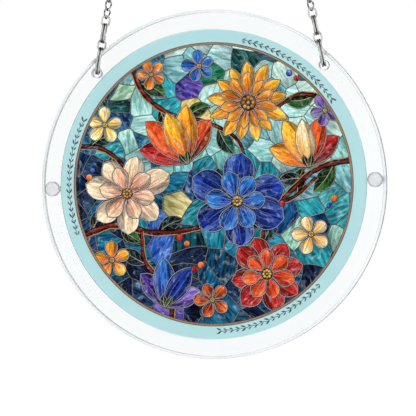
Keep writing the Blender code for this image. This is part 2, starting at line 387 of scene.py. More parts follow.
# %% Turn a profile about the disc's axis
def ease_corners(profile, reach, steps=4):
    """Replace each inner corner P by a quadratic curve from A to B with P as its handle.

    A and B lie on the two sides, at most reach away from P.
    """
    profile = np.asarray(profile, float)
    corner = profile[1:-1]
    to_last = profile[:-2] - corner
    to_next = profile[2:] - corner
    lengths = np.stack([np.linalg.norm(to_last, axis=1), np.linalg.norm(to_next, axis=1)], 1)
    share = np.minimum(reach / lengths, 0.45)
    start = corner + to_last * share[:, :1]
    stop = corner + to_next * share[:, 1:]
    t = np.linspace(0, 1, steps)[None, :, None]
    curve = (1 - t) ** 2 * start[:, None] + 2 * t * (1 - t) * corner[:, None] + t ** 2 * stop[:, None]
    return np.concatenate([profile[:1], curve.reshape(-1, 2), profile[-1:]])


def turn(profile, steps, centre_x, centre_z):
    """Turn (radius, y) pairs about an axis along Y through a centre.

    Point = centre + (radius * cos a, y, radius * sin a) for steps angles a.
    """
    profile = np.asarray(profile, float)
    angle = np.linspace(0, 2 * pi, steps, endpoint=False)
    radius, depth = profile[:, :1], profile[:, 1:]
    across = centre_x + radius * np.cos(angle)
    up = centre_z + radius * np.sin(angle)
    return np.stack([across, np.broadcast_to(depth, across.shape), up], axis=-1)


# %% [markdown]
# ## The two acrylic panes
#
# Each pane is a turned plate with a 45 degree polished bevel at its outer edge.
# The back pane has a round recess for the picture. Both are then drilled at the
# shoulders and pocketed for the magnets, as in the workshop, which is why an
# exact Boolean cut is the natural tool. Each cutter carries the finish of the
# walls that it leaves: matt with painted grey shade for the holes, clear for the
# closed pockets. Last, the faces outside the flat rim get the finish of the edge,
# whose grey tint is painted shade.

# %% Turn, drill and pocket the panes
PANE_STEPS = 240
DRILL_STEPS = 48
EASED = 0.35 * MM
TOOL_EASED = 0.0001
NEARLY_ZERO = 0.00001


def make_cutter(profile, x, z, finish):
    """A turned tool that leaves walls of this finish."""
    points = turn(ease_corners(profile, TOOL_EASED), DRILL_STEPS, x, z)
    return make_piece("tool", *sew(points, False, True), finish)


def cut(piece, tools):
    """Take the tools from the piece and keep the finished mesh."""
    for tool in tools:
        step = piece.modifiers.new("cut", "BOOLEAN")
        step.operation = "DIFFERENCE"
        step.solver = "EXACT"
        step.material_mode = "TRANSFER"
        step.object = tool
    bpy.context.view_layer.update()
    finished = piece.evaluated_get(bpy.context.evaluated_depsgraph_get())
    mesh = bpy.data.meshes.new_from_object(finished)
    piece.modifiers.clear()
    piece.data = mesh
    mesh.shade_smooth()
    mesh.set_sharp_from_angle(angle=radians(10))


magnet_low, magnet_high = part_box("magnet_right")
magnet_middle = (magnet_low + magnet_high) / 2
magnet_radius = 4 * MM
pocket_radius = magnet_radius + touch_gap
pocket_half = (magnet_high.y - magnet_low.y) / 2 + touch_gap / 2
rim = pane_radius - edge_bevel
front_profile = ease_corners([
    (NEARLY_ZERO, front_pane_inside), (pane_radius, front_pane_inside),
    (pane_radius, face_front + edge_bevel), (rim, face_front), (NEARLY_ZERO, face_front)], EASED)
back_profile = ease_corners([
    (NEARLY_ZERO, face_back), (rim, face_back), (pane_radius, face_back - edge_bevel),
    (pane_radius, back_pane_inside), (recess_radius, back_pane_inside),
    (recess_radius, recess_floor), (NEARLY_ZERO, recess_floor)], EASED)
chamfer = 0.25 * MM
drill_profile = [
    (NEARLY_ZERO, face_back + MM), (hole_radius + chamfer + MM, face_back + MM),
    (hole_radius, face_back - chamfer), (hole_radius, face_front + chamfer),
    (hole_radius + chamfer + MM, face_front - MM), (NEARLY_ZERO, face_front - MM)]
pocket_profile = [
    (NEARLY_ZERO, magnet_middle.y + pocket_half), (pocket_radius, magnet_middle.y + pocket_half),
    (pocket_radius, magnet_middle.y - pocket_half), (NEARLY_ZERO, magnet_middle.y - pocket_half)]
tools = []
for side in (-1, 1):
    tools.append(make_cutter(drill_profile, side * hole_x, hole_z, cut_acrylic_painted_shade))
    tools.append(make_cutter(pocket_profile, side * magnet_middle.x, disc_z, acrylic))
for name, profile in (("front_pane", front_profile), ("back_pane", back_profile)):
    points = turn(profile, PANE_STEPS, 0, disc_z)
    pane = make_piece("clear_" + name, *sew(points, False, True), acrylic)
    cut(pane, tools)
    pane.data.materials.append(edge_acrylic_painted_shade)
    places = np.empty(3 * len(pane.data.polygons))
    pane.data.polygons.foreach_get("center", places)
    places = places.reshape(-1, 3)
    kinds = np.empty(len(places), np.int32)
    pane.data.polygons.foreach_get("material_index", kinds)
    kinds[np.hypot(places[:, 0], places[:, 2] - disc_z) > rim] = len(pane.data.materials) - 1
    pane.data.polygons.foreach_set("material_index", kinds)
    adopt(pane, name)
for tool in tools:
    bpy.data.objects.remove(tool, do_unlink=True)

# %% [markdown]
# ## The magnets
#
# Two small nickel-plated magnets sit in the pockets and hold the panes shut.
# Each is a turned disc with an eased edge. Its attribute of painted shade grows towards the edge, so
# the rim is painted darker, as shade.

# %% Turn the magnets
for name in ("magnet_left", "magnet_right"):
    low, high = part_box(name)
    middle = (low + high) / 2
    profile = ease_corners([(NEARLY_ZERO, high.y), (magnet_radius, high.y),
                            (magnet_radius, low.y), (NEARLY_ZERO, low.y)], EASED)
    # Outside this radius the colour darkens towards the rim: painted shade.
    bright = 0.78 * magnet_radius
    profile = np.insert(np.asarray(profile), (1, len(profile) - 1),
                        [(bright, high.y), (bright, low.y)], axis=0)
    points = turn(profile, DRILL_STEPS, middle.x, disc_z)
    magnet = make_piece("plated_" + name, *sew(points, False, True), magnet_metal)
    radius = np.broadcast_to(profile[:, :1], points.shape[:2])
    store(magnet.data, "crevice", "FLOAT", "POINT", np.clip(radius / bright - 1, 0, 0.25))
    adopt(magnet, name)

# %% [markdown]
# ## Wire bent to a path
#
# Rings, links and chain are all bent wire. A section is carried along a path:
# at each point of the path it stands across the wire. All of these bends are
# nearly flat, so one fixed side direction is enough to keep the section from
# twisting.

# %% Carry a wire section along a path
def signed_power(values, power):
    """Raise the sizes to a power and keep the signs: sgn(v) |v| ** power."""
    return np.sign(values) * np.abs(values) ** power


def bend_wire(path, flat_side, half_wide, half_high, sides, closed, squareness=2.0):
    """Points[row, column] of a wire along path.

    The section's rim is the superellipse |a/half_wide|^n + |b/half_high|^n = 1,
    a along flat_side, which must not run along the path, b across both.
    """
    path = np.asarray(path, float)
    if closed:
        along = np.roll(path, -1, axis=0) - np.roll(path, 1, axis=0)
    else:
        along = np.gradient(path, axis=0)
    along /= np.linalg.norm(along, axis=1, keepdims=True)
    flat_side = np.broadcast_to(np.asarray(flat_side, float), path.shape)
    wide = flat_side - (flat_side * along).sum(1, keepdims=True) * along
    wide /= np.linalg.norm(wide, axis=1, keepdims=True)
    high = np.cross(along, wide)
    angle = np.linspace(0, 2 * pi, sides, endpoint=False)
    a = signed_power(np.cos(angle), 2 / squareness) * half_wide
    b = signed_power(np.sin(angle), 2 / squareness) * half_high
    return path[:, None] + a[None, :, None] * wide[:, None] + b[None, :, None] * high[:, None]


def rotated(points, angle, axis):
    """Points turned about an axis of the scene."""
    return points @ np.array(Matrix.Rotation(angle, 3, axis)).T


def onto_strand(points, side, height, swivel):
    """Turn a piece about the strand's line, raise it up the line, and lean the line."""
    raised = rotated(points, swivel, "Z") + np.array((0, 0, height))
    return rotated(raised, -side * strand_lean, "Y") + np.array((side * hole_x, 0, hole_z))


# %% [markdown]
# ## Split rings
#
# A split ring is two turns of flattened wire lying side by side, joined by one
# Seen on edge it shows two bright lines with a dark one between, so both turns are really made, as one
# long path with its two cut ends. The attribute of painted shade is 1 in the groove between them: a
# dark line of shade painted into the colour there.

# %% Bend the four split rings
def split_ring(outside_radius, points_per_turn=56):
    """Two turns round the X axis: (shift(a), r cos a, r sin a), a from start to 4 pi - start.

    shift goes smoothly from one side to the other over a short ramp at a = 2 pi.
    Returns the points and the painted shade of each, from 0 to 1, darkest in the groove between the
    turns.
    """
    radius = outside_radius - ring_wire / 2
    ramp = radians(24)
    angle = np.linspace(ramp / 2, 4 * pi - ramp / 2, 2 * points_per_turn + 1)
    t = np.clip((angle - (2 * pi - ramp / 2)) / ramp, 0, 1)
    shift = (ring_wire + coil_gap) / 2 * (2 * t * t * (3 - 2 * t) - 1)
    path = np.stack([shift, radius * np.cos(angle), radius * np.sin(angle)], axis=1)
    points = bend_wire(path, (1, 0, 0), ring_wire / 2, ring_wire / 2, 16, False, 2.2)
    # Painted shade: 1 at the middle between the two turns, fading out along their inner sides.
    return points, np.clip(2.8 - np.abs(points[..., 0]) / (0.14 * ring_wire), 0, 1)


SIDES = ((-1, "left"), (1, "right"))
for side, hand in SIDES:
    for label, radius, height in (("lower_ring_", lower_ring_radius, lower_ring_at),
                                  ("upper_ring_", upper_ring_radius, upper_ring_at)):
        points, crevice = split_ring(radius)
        points = onto_strand(points, side, height, ring_swivel)
        ring = make_piece("split_" + label + hand, *sew(points, False, True), nickel, 50)
        store(ring.data, "crevice", "FLOAT", "POINT", crevice)
        adopt(ring, label + hand)

# %% [markdown]
# ## Oval links
#
# Plain oval links join ring to ring and ring to chain. Each is a length of round
# wire bent until its two cut ends meet at the middle of one straight side, where
# a hair-thin slit is left.

# %% Bend the oval links
def oval_link(points_per_end=20):
    """Two half circles joined by straight sides in the XZ plane, open by a slit."""
    end_radius = (ring_width + 2 * link_room + link_wire) / 2
    straight = (link_inside - ring_width - 2 * link_room) / 2
    angle = np.linspace(0, pi, points_per_end)
    top = np.stack([end_radius * np.cos(angle), 0 * angle, straight + end_radius * np.sin(angle)], 1)
    bottom = -top
    slit = 0.04 * MM
    first = np.array([[end_radius, 0, slit]])
    last = np.array([[end_radius, 0, -slit]])
    path = np.concatenate([first, top, bottom, last])
    return bend_wire(path, (0, 1, 0), link_wire / 2, link_wire / 2, 14, False)


for side, hand in SIDES:
    for label, height, swivel in (("joining_link_", joining_link_at, ring_swivel),
                                  ("end_link_", end_link_at, ring_swivel),
                                  ("top_link_", top_link_at, pi / 2)):
        points = onto_strand(oval_link(), side, height, swivel)
        link = make_piece("oval_" + label + hand, *sew(points, False, True), nickel, 50)
        adopt(link, label + hand)

# %% [markdown]
# ## The curb chains
#
# A curb chain's links are ovals that have been twisted until they lie flat on
# each other. One link is worked out as a grid, then copied up the line by adding
# an array of heights, so a whole chain is one sum. With more than a hundred
# links on the object, each gets only a few dozen faces.

# %% Bend one link and repeat it
chain_solid_wire = 1.2 * MM
chain_wire = 1.02 * MM
chain_start = end_link_at + link_inside / 2 - touch_gap - chain_solid_wire
chain_end = top_link_at - link_inside / 2 + touch_gap + chain_solid_wire
curb_width = 4.3 * MM
usual_pitch = 4.8 * MM
overreach = 2 * chain_solid_wire - 0.42 * MM
chain_links = round((chain_end - chain_start - overreach) / usual_pitch)
chain_pitch = (chain_end - chain_start - overreach) / chain_links
link_length = chain_pitch + overreach


def curb_link(points_round=16, sides=5):
    """A superellipse loop in the XZ plane, turned about Z by 45 degrees from middle to end.

    x = w sgn(cos a)|cos a|^0.85, z = h sgn(sin a)|sin a|^0.85, turn = 45 degrees * z / h.
    """
    half_length = (link_length - chain_wire) / 2
    half_width = (curb_width - chain_wire) / 2
    angle = np.linspace(0, 2 * pi, points_round, endpoint=False) + pi / points_round
    x = half_width * signed_power(np.cos(angle), 0.85)
    z = half_length * signed_power(np.sin(angle), 0.85)
    path = np.stack([x, 0 * x, z], axis=1)
    points = bend_wire(path, (0, 1, 0), chain_wire / 2, chain_wire / 2, sides, True)
    twist = radians(45) * points[..., 2] / half_length
    x, y = points[..., 0], points[..., 1]
    return np.stack([x * np.cos(twist) - y * np.sin(twist),
                     x * np.sin(twist) + y * np.cos(twist), points[..., 2]], axis=-1)


link_vertices, link_faces = sew(curb_link(), True, False)
link_vertices = rotated(link_vertices, radians(-10), "Z")
heights = chain_start + link_length / 2 + chain_pitch * np.arange(chain_links)
stacked = link_vertices[None] + heights[:, None, None] * np.array((0, 0, 1))
faces = np.array(link_faces)[None] + len(link_vertices) * np.arange(chain_links)[:, None, None]
for side, hand in SIDES:
    points = onto_strand(stacked.reshape(-1, 3), side, 0, 0)
    chain = make_piece("curb_chain_" + hand, points, faces.reshape(-1, 4).tolist(), steel, 60)
    adopt(chain, "chain_" + hand)
print(f"{chain_links} links a side, pitch {1000 * chain_pitch:.3f} mm")

# %% [markdown]
# ## The hanging ring
#
# Both strands meet on one plain round ring of thicker wire, brazed shut.

# %% Bend the hanging ring
angle = np.linspace(0, 2 * pi, 72, endpoint=False)
ring_path = np.stack([hanging_radius * np.cos(angle), 0 * angle,
                      hanging_radius * np.sin(angle) - hanging_radius + hanging_wire / 2], axis=1)
points = bend_wire(ring_path, (0, 1, 0), hanging_wire / 2, hanging_wire / 2, 20, True)
hanging = make_piece("round_hanging_ring", *sew(points, True, False), nickel, 60)
adopt(hanging, "hanging_ring")

# %% [markdown]
# ## The printed picture: how it is drawn
#
# The picture is a flat print that imitates leaded glass: hundreds of coloured
# pieces between thin metal lines. It is drawn as a stack of flat outlines, each
# with two colours that run into each other, from the ground up to the blossoms.
# At the end a planar map cuts the stack into triangles that do not overlap, and
# each triangle takes the paint of the topmost outline over it. The print stays
# one flat sheet, and its lines stay crisp however near the camera comes.
#
# Sizes in these cells are millimetres from the middle of the disc, x to the
# right and y up, as the viewer sees it.

# %% A stack of outlines
LEAD, PAPER, GLASS = 0.0, 0.5, 1.0
BRONZE_RADIUS = 81.2
HIDDEN_RADIUS = 86.5
stack = []
rng = np.random.default_rng(20)


def drawn_in(points, limit):
    """Points farther out than a limit are moved straight in to it."""
    radius = np.linalg.norm(points, axis=-1, keepdims=True)
    return points * np.minimum(1, limit / np.maximum(radius, 0.001))


def lay(outline, first, second=None, along=0.0, finish=GLASS, on_border=False):
    """Put an outline on the stack, first colour at its start along an angle, second at its end.

    The border will hide what reaches past the bronze ring, so what lies wholly
    there is left out, and the rest is drawn in to stay on the disc.
    """
    outline = np.asarray(outline, float)
    if not on_border:
        if np.linalg.norm(outline, axis=1).min() > BRONZE_RADIUS + 0.3:
            return
        outline = drawn_in(outline, HIDDEN_RADIUS + 1.2)
    x, y = outline[:, 0], outline[:, 1]
    if (x * np.roll(y, -1) - y * np.roll(x, -1)).sum() < 0:
        outline = outline[::-1]
    first = rgb(*first)
    second = first if second is None else rgb(*second)
    stack.append((outline, first, second, along, finish))


def polar(radius, angle):
    """Points at a radius and angle from the middle of the disc."""
    return np.stack([radius * np.cos(angle), radius * np.sin(angle)], axis=-1)


def smooth_path(corners, count):
    """A Catmull-Rom curve through the corners: each span is the cubic of its four neighbours."""
    corners = np.asarray(corners, float)
    padded = np.concatenate([
        2 * corners[:1] - corners[1:2], corners, 2 * corners[-1:] - corners[-2:-1]])
    place = np.linspace(0, len(corners) - 1, count)
    span = np.minimum(place.astype(int), len(corners) - 2)
    t = (place - span)[:, None]
    a, b, c, d = (padded[span + k] for k in range(4))
    return 0.5 * (2 * b + (c - a) * t + (2 * a - 5 * b + 4 * c - d) * t ** 2
                  + (3 * b - a - 3 * c + d) * t ** 3)


def normals(line):
    """Unit vectors to the left of a line."""
    along = np.gradient(line, axis=0)
    along /= np.linalg.norm(along, axis=1, keepdims=True) + 1e-12
    return np.stack([-along[:, 1], along[:, 0]], axis=1)


def ribbon(line, half_width):
    """The outline of a strip round a line: out along one side and back along the other."""
    line = drawn_in(line, HIDDEN_RADIUS)
    half_width = np.broadcast_to(half_width, len(line))[:, None]
    side = normals(line) * half_width
    return np.concatenate([line + side, (line - side)[::-1]])


def mixed(first, second, share):
    """A screen colour part of the way from one to another."""
    return tuple(a + (b - a) * share for a, b in zip(first, second))


# %% [markdown]
# ## Lead lines
#
# On the real print a line is a dark stroke with a thin bright one on it, like
# light on a rounded strip of metal. Each line is laid twice: a dark ribbon, and
# a thinner pale one pushed a little up and to the left.

# %% Lines with light on them
INK = (10, 7, 12)
TAN = (196, 178, 150)
SILVER = (206, 204, 200)
SUN = (255, 250, 235)


def lead(line, half_width=0.38, dark=INK, light=TAN):
    """A dark stroke along a line with a thin bright stroke on its upper left side."""
    lay(ribbon(line, half_width), dark, finish=LEAD)
    lay(ribbon(line + np.array((-0.32, 0.46)) * half_width, 0.34 * half_width), light, finish=LEAD)


def hairline(line, half_width=0.13, colour=INK):
    """A thin stroke that fades out to a point at its end."""
    taper = half_width * np.linspace(1, 0.25, len(line))
    lay(ribbon(line, taper), colour, finish=LEAD)


# %% [markdown]
# ## The ground of glass pieces
#
# Behind the plants lies a ground of irregular pieces. Their plan is a Voronoi
# diagram of scattered seeds, read off a Delaunay triangulation: each triangle's
# circumcentre is a corner where three pieces meet. A smooth warp bends the
# straight edges, as a glass cutter's lines are bent.

# %% Plan the ground
def warp(points):
    """Push points by a few long waves: dx and dy are sums of sines of x and y."""
    x, y = points[..., 0], points[..., 1]
    dx = 2.4 * np.sin(0.075 * y + 0.6) + 1.1 * np.sin(0.19 * y + 0.08 * x + 2.0)
    dy = 2.2 * np.sin(0.082 * x + 1.9) + 1.1 * np.sin(0.17 * x - 0.09 * y)
    return points + np.stack([dx, dy], axis=-1)


def scatter(count, reach, space):
    """Seeds over a disc: each new one is the farthest of a few random tries from all others."""
    seeds = [np.zeros(2)]
    while len(seeds) < count:
        tries = polar(reach * np.sqrt(rng.random(8)), 2 * pi * rng.random(8))
        far = np.linalg.norm(tries[:, None] - np.array(seeds)[None], axis=2).min(1)
        seeds.append(tries[int(np.argmax(far * rng.uniform(1 - space, 1, 8)))])
    return np.array(seeds)


def circumcentres(corners):
    """The point equally far from three corners, from their squared lengths and cross product."""
    a, b, c = corners[:, 0], corners[:, 1], corners[:, 2]
    ab, ac = b - a, c - a
    cross = 2 * (ab[:, 0] * ac[:, 1] - ab[:, 1] * ac[:, 0])
    ab2, ac2 = (ab ** 2).sum(1), (ac ** 2).sum(1)
    x = (ac[:, 1] * ab2 - ab[:, 1] * ac2) / cross
    y = (ab[:, 0] * ac2 - ac[:, 0] * ab2) / cross
    return a + np.stack([x, y], axis=1)


def bent(start, stop, count=5):
    """A straight edge cut into parts and warped."""
    t = np.linspace(0, 1, count)[:, None]
    return warp(start * (1 - t) + stop * t)


seeds = scatter(170, 96, 0.35)
plan = delaunay_2d_cdt([Vector(s) for s in seeds], [], [], 0, 1e-6, False)
seed_points = np.array([tuple(v) for v in plan[0]])
triangles = np.array(plan[2])
centres = circumcentres(seed_points[triangles])

# %% [markdown]
# The colours follow the light in the picture: milky aqua and mint towards the
# upper right, turquoise and blue towards the lower left, navy at the bottom.
# A piece picks its place on that scale by where it lies, with some chance in it.
# Between two pale pieces the line is one thin grey stroke, elsewhere it is lead.

# %% Colour and lay the ground
GROUND = ((214, 234, 226), (190, 226, 224), (168, 216, 208), (150, 206, 214), (196, 222, 196),
          (84, 190, 196), (30, 166, 178), (18, 134, 166), (10, 100, 142), (18, 84, 160),
          (6, 104, 112), (10, 66, 118), (12, 38, 84))
ACCENTS = ((40, 150, 110), (64, 120, 200), (120, 92, 190), (232, 214, 150), (20, 96, 96))
AQUA = (182, 221, 224)
SEED_LIMIT, PIECE_LIMIT, PALE_ABOVE = 90, 110, 165


def ground_colour(place):
    """A colour from the scale, by the place's distance from the pale corner and by chance."""
    if rng.random() < 0.13:
        return ACCENTS[rng.integers(len(ACCENTS))]
    depth = 0.53 - (0.40 * place[0] + 0.80 * place[1]) / 105 + rng.normal() * 0.20
    scale = np.clip(depth, 0, 0.999) * (len(GROUND) - 1)
    step = int(scale)
    return mixed(GROUND[step], GROUND[step + 1], scale - step)


neighbours = {}
for number, triangle in enumerate(triangles.tolist()):
    for a, b in ((0, 1), (1, 2), (2, 0)):
        neighbours.setdefault(frozenset((triangle[a], triangle[b])), []).append(number)
around = {}
for pair, owners in neighbours.items():
    if len(owners) == 2:
        for seed in pair:
            around.setdefault(seed, []).append(tuple(owners))
lay(polar(picture_radius / MM, np.linspace(0, 2 * pi, 240, endpoint=False)), AQUA,
    finish=PAPER, on_border=True)
lay(polar(BRONZE_RADIUS, np.linspace(0, 2 * pi, 160, endpoint=False) + 0.01), (60, 110, 130))
brightness = {}
for seed, edges in around.items():
    middle = seed_points[seed]
    ends = {owner for pair in edges for owner in pair}
    if np.linalg.norm(middle) > SEED_LIMIT or len(ends) < 3:
        continue
    order = sorted(ends, key=lambda k: atan2(*(centres[k] - middle)[::-1]))
    outline = np.concatenate([bent(centres[a], centres[b])[:-1]
                              for a, b in zip(order, order[1:] + order[:1])])
    if np.linalg.norm(outline, axis=1).max() > PIECE_LIMIT:
        continue
    colour = ground_colour(middle)
    pale = mixed(colour, (244, 252, 246), rng.uniform(0.0, 0.3))
    deep = mixed(colour, (6, 30, 60), rng.uniform(0.0, 0.35))
    lay(outline, deep, pale, rng.uniform(0, 2 * pi))
    for pair in edges:
        brightness.setdefault(pair, []).append(sum(colour) / 3)
for (a, b), lights in brightness.items():
    line = bent(centres[a], centres[b])
    line = line[np.linalg.norm(line, axis=1) < HIDDEN_RADIUS]
    if len(line) < 2:
        continue
    if np.mean(lights) > PALE_ABOVE:
        lay(ribbon(line, 0.26), (92, 84, 78), finish=LEAD)
    else:
        lead(line, 0.34, (12, 14, 24), (160, 150, 134))

# %% [markdown]
# ## Petals, leaves and what they have in common
#
# A petal and a leaf are the same thing: a bent middle line with a width that
# swells and closes again. Any line inside it is a fixed share of that width from
# the middle, so panels, veins and edges all come from one frame of reference.

# %% The frame of a petal or leaf
class Blade:
    """A petal or leaf: middle line, normals and half widths at count places.

    The middle line leaves base at an angle and turns by bend on its way.
    Half width = width * sin(pi * s ** belly) ** tip for s from 0 to 1: belly
    above 1 moves the widest place outwards, tip below 1 rounds the ends.
    """

    def __init__(self, base, length, angle, width, bend, belly, tip, count=11):
        s = np.linspace(0, 1, count)
        heading = angle + bend * (s[1:] + s[:-1]) / 2
        steps = np.stack([np.cos(heading), np.sin(heading)], axis=1) * length / (count - 1)
        self.middle = np.concatenate([np.zeros((1, 2)), np.cumsum(steps, axis=0)]) + base
        self.normal = normals(self.middle)
        self.half = width * np.sin(pi * np.clip(s, 0.0, 1.0) ** belly).clip(0) ** tip
        self.angle = angle + bend / 2

    def line(self, share, start=0, stop=None):
        """The line at a share of the half width, from -1 to 1, between two places."""
        whole = self.middle + share * self.half[:, None] * self.normal
        return whole[start:stop]

    def outline(self, low=-1.0, high=1.0):
        """The closed outline between two shares of the half width."""
        ends = self.line(low), self.line(high)
        return np.concatenate([ends[0], ends[1][1:-1][::-1]])

    def panel(self, low, high, start, stop):
        """A closed panel between two shares and two places."""
        return np.concatenate([self.line(low, start, stop), self.line(high, start, stop)[::-1]])


def draw_petal(blade, heart, edge, veins, vein, glow=None):
    """One petal: body, side panels a little lighter and darker, veins, then its lead edge."""
    lay(blade.outline(), heart, edge, blade.angle)
    lay(blade.outline(-1.0, -0.38), mixed(heart, INK, 0.22), mixed(edge, INK, 0.18), blade.angle)
    lay(blade.outline(0.42, 1.0), mixed(heart, SUN, 0.10), mixed(edge, SUN, 0.26), blade.angle)
    if glow is not None:
        lay(blade.panel(-0.3, 0.34, 1, -3), glow, edge, blade.angle)
    for share in np.linspace(-0.78, 0.78, veins):
        line = blade.line(share, 1, -2 + int(abs(share) < 0.3))
        hairline(line, 0.15, vein)
        hairline(line + np.array((-0.14, 0.2)), 0.09, mixed(SILVER, edge, 0.25))
    for share in (-1.0, 1.0):
        lead(blade.line(share), 0.32, light=SILVER)


def draw_leaf(blade, dark, bright, veins=3):
    """One leaf: a dark half and a brighter half, side veins, midrib and lead edge."""
    lay(blade.outline(-1.0, 0.0), dark, mixed(dark, bright, 0.4), blade.angle)
    lay(blade.outline(0.0, 1.0), mixed(dark, bright, 0.5), bright, blade.angle)
    count = len(blade.middle)
    for k in range(veins):
        root = 2 + k * (count - 5) // veins
        for share in (-0.86, 0.86):
            tip_place = min(root + 2, count - 2)
            tip = blade.middle[tip_place] + share * blade.half[tip_place] * blade.normal[tip_place]
            t = np.linspace(0, 1, 4)[:, None]
            hairline(blade.middle[root] * (1 - t) + tip * t, 0.12, mixed(TAN, dark, 0.35))
    hairline(blade.middle, 0.24, TAN)
    for share in (-1.0, 1.0):
        lead(blade.line(share), 0.27)


# %% [markdown]
# ## Branches and leaves
#
# Thin red-brown branches cross the disc from the rim, thicker at the rim. Each
# is a ribbon along a smooth curve, with a lit red streak along its upper side
# and a gold line below. Leaves stand on them in turn to the left and right.

# %% Draw branches with their leaves
GREENS = (((6, 34, 28), (22, 84, 60)), ((6, 50, 48), (16, 118, 100)),
          ((12, 46, 24), (60, 130, 58)), ((8, 30, 40), (14, 78, 92)))


def draw_branch(line, thick, thin):
    """A tapered branch along a line."""
    half = np.linspace(thick, thin, len(line)) * (1 + 0.16 * np.sin(np.arange(len(line)) * 1.9))
    side = normals(line)
    lay(ribbon(line, half + 0.32), INK, finish=LEAD)
    lay(ribbon(line - side * half[:, None] * 0.95, 0.26), (206, 166, 98), finish=LEAD)
    lay(ribbon(line, half * 0.86), (92, 34, 30), (64, 26, 26))
    lay(ribbon(line + side * half[:, None] * 0.25, half * 0.34), (168, 66, 44), (128, 44, 36))


def leaf_row(line, places, length, width):
    """Leaves at shares of a branch's length, in turn on either side."""
    for k, place in enumerate(places):
        at = int(place * (len(line) - 2))
        along = line[at + 1] - line[at]
        side = (-1) ** k
        angle = atan2(along[1], along[0]) + side * rng.uniform(0.6, 1.05)
        dark, bright = GREENS[rng.integers(len(GREENS))]
        size = rng.uniform(0.8, 1.15)
        bend = -side * rng.uniform(0.2, 0.8)
        blade = Blade(line[at], length * size, angle, width * size, bend, 1.05, 0.95)
        draw_leaf(blade, dark, bright)


BRANCHES = (
    (((-82, -30), (-58, -22), (-34, -27), (-6, -24), (22, -12), (44, -10), (60, 2)), 1.9, 0.8,
     (0.08, 0.22, 0.36, 0.62, 0.9), 19, 4.6),
    (((82, 12), (62, 8), (46, -4), (30, -22), (26, -44), (14, -62)), 1.7, 0.7,
     (0.12, 0.34, 0.56, 0.8, 0.95), 18, 4.4),
    (((-46, 70), (-38, 52), (-22, 40), (-4, 36), (14, 26), (20, 12)), 1.6, 0.7,
     (0.14, 0.34, 0.5, 0.72), 17, 4.2),
    (((70, 46), (52, 50), (36, 42), (22, 40)), 1.4, 0.7, (0.2, 0.5, 0.85), 16, 4.0),
    (((-26, -80), (-26, -60), (-40, -44), (-42, -26)), 1.6, 0.8, (0.18, 0.45, 0.7), 17, 4.3),
    (((-80, 24), (-64, 22), (-52, 12), (-46, -4)), 1.5, 0.8, (0.2, 0.5, 0.8), 16, 4.0),
)
lines = [smooth_path(branch[0], 6 * len(branch[0])) for branch in BRANCHES]
for line, (_, _, _, places, length, width) in zip(lines, BRANCHES):
    leaf_row(line, places, length, width)
for line, (_, thick, thin, _, _, _) in zip(lines, BRANCHES):
    draw_branch(line, thick, thin)

# %% [markdown]
# ## Blossoms
#
# The blossoms are the warm figures of the picture. An open blossom is one or
# two rings of petals round a heart of small beads. A cup is seen from the side:
# its petals fan out of one point, the outer ones first. All colours run from a
# deeper heart to a lighter edge, as on flashed glass.

# %% Draw the blossoms
def bead(centre, radius, colour, edge=0.22):
    """A round bead with a dark rim and a small light on it."""
    circle = polar(1.0, np.linspace(0, 2 * pi, 12, endpoint=False))
    lay(centre + circle * (radius + edge), INK, finish=LEAD)
    lay(centre + circle * radius, mixed(colour, INK, 0.25), mixed(colour, (255, 250, 230), 0.3), pi / 2)


def open_blossom(centre, rings, start, heart, heart_radius):
    """Rings of petals from the outermost in: (count, length, width, tip, colours, veins)."""
    centre = np.asarray(centre, float)
    for level, (count, length, width, tip, inner, outer, veins) in enumerate(rings):
        angles = start + level * pi / count + 2 * pi * np.arange(count) / count
        for k in (*range(0, count, 2), *range(1, count, 2)):
            wobble = rng.normal() * 0.05
            size = 1 + 0.06 * rng.normal()
            base = centre + polar(heart_radius * 0.5, angles[k])
            blade = Blade(base, length * size, angles[k] + wobble, width * size,
                          rng.normal() * 0.18, 1.5, tip)
            tone = rng.uniform(-0.12, 0.12)
            toned = mixed(outer, (255, 246, 220) if tone > 0 else (60, 10, 20), abs(tone))
            draw_petal(blade, inner, toned, veins, mixed(inner, INK, 0.6))
    bead(centre, heart_radius, heart[1])
    for k in range(9):
        spot = centre + polar(heart_radius * (0.62 if k else 0), 2 * pi * k / 8)
        bead(spot, heart_radius * 0.2, heart[0], 0.1)


def cup_blossom(base, angle, petals):
    """Petals that fan out of one point: (turn, length, width, bend, inner, outer, veins)."""
    for turn_by, length, width, bend, inner, outer, veins in petals:
        blade = Blade(base, length, angle + turn_by, width, bend, 1.15, 0.78)
        draw_petal(blade, inner, outer, veins, mixed(inner, INK, 0.55), mixed(inner, outer, 0.5))
    for side, green in ((1, GREENS[0]), (-1, GREENS[2])):
        draw_leaf(Blade(base, 8, angle + side * 0.55, 1.8, side * -0.5, 1.0, 1.0), *green, veins=1)


RED, CRIMSON, ORANGE, GOLD = (208, 36, 32), (140, 20, 34), (240, 122, 26), (246, 190, 44)
YELLOW, CREAM, BLUSH, ROYAL = (250, 218, 66), (248, 238, 214), (236, 196, 168), (38, 86, 190)
SKY, NAVY, VIOLET, LILAC = (58, 150, 214), (26, 36, 110), (98, 58, 168), (168, 140, 214)

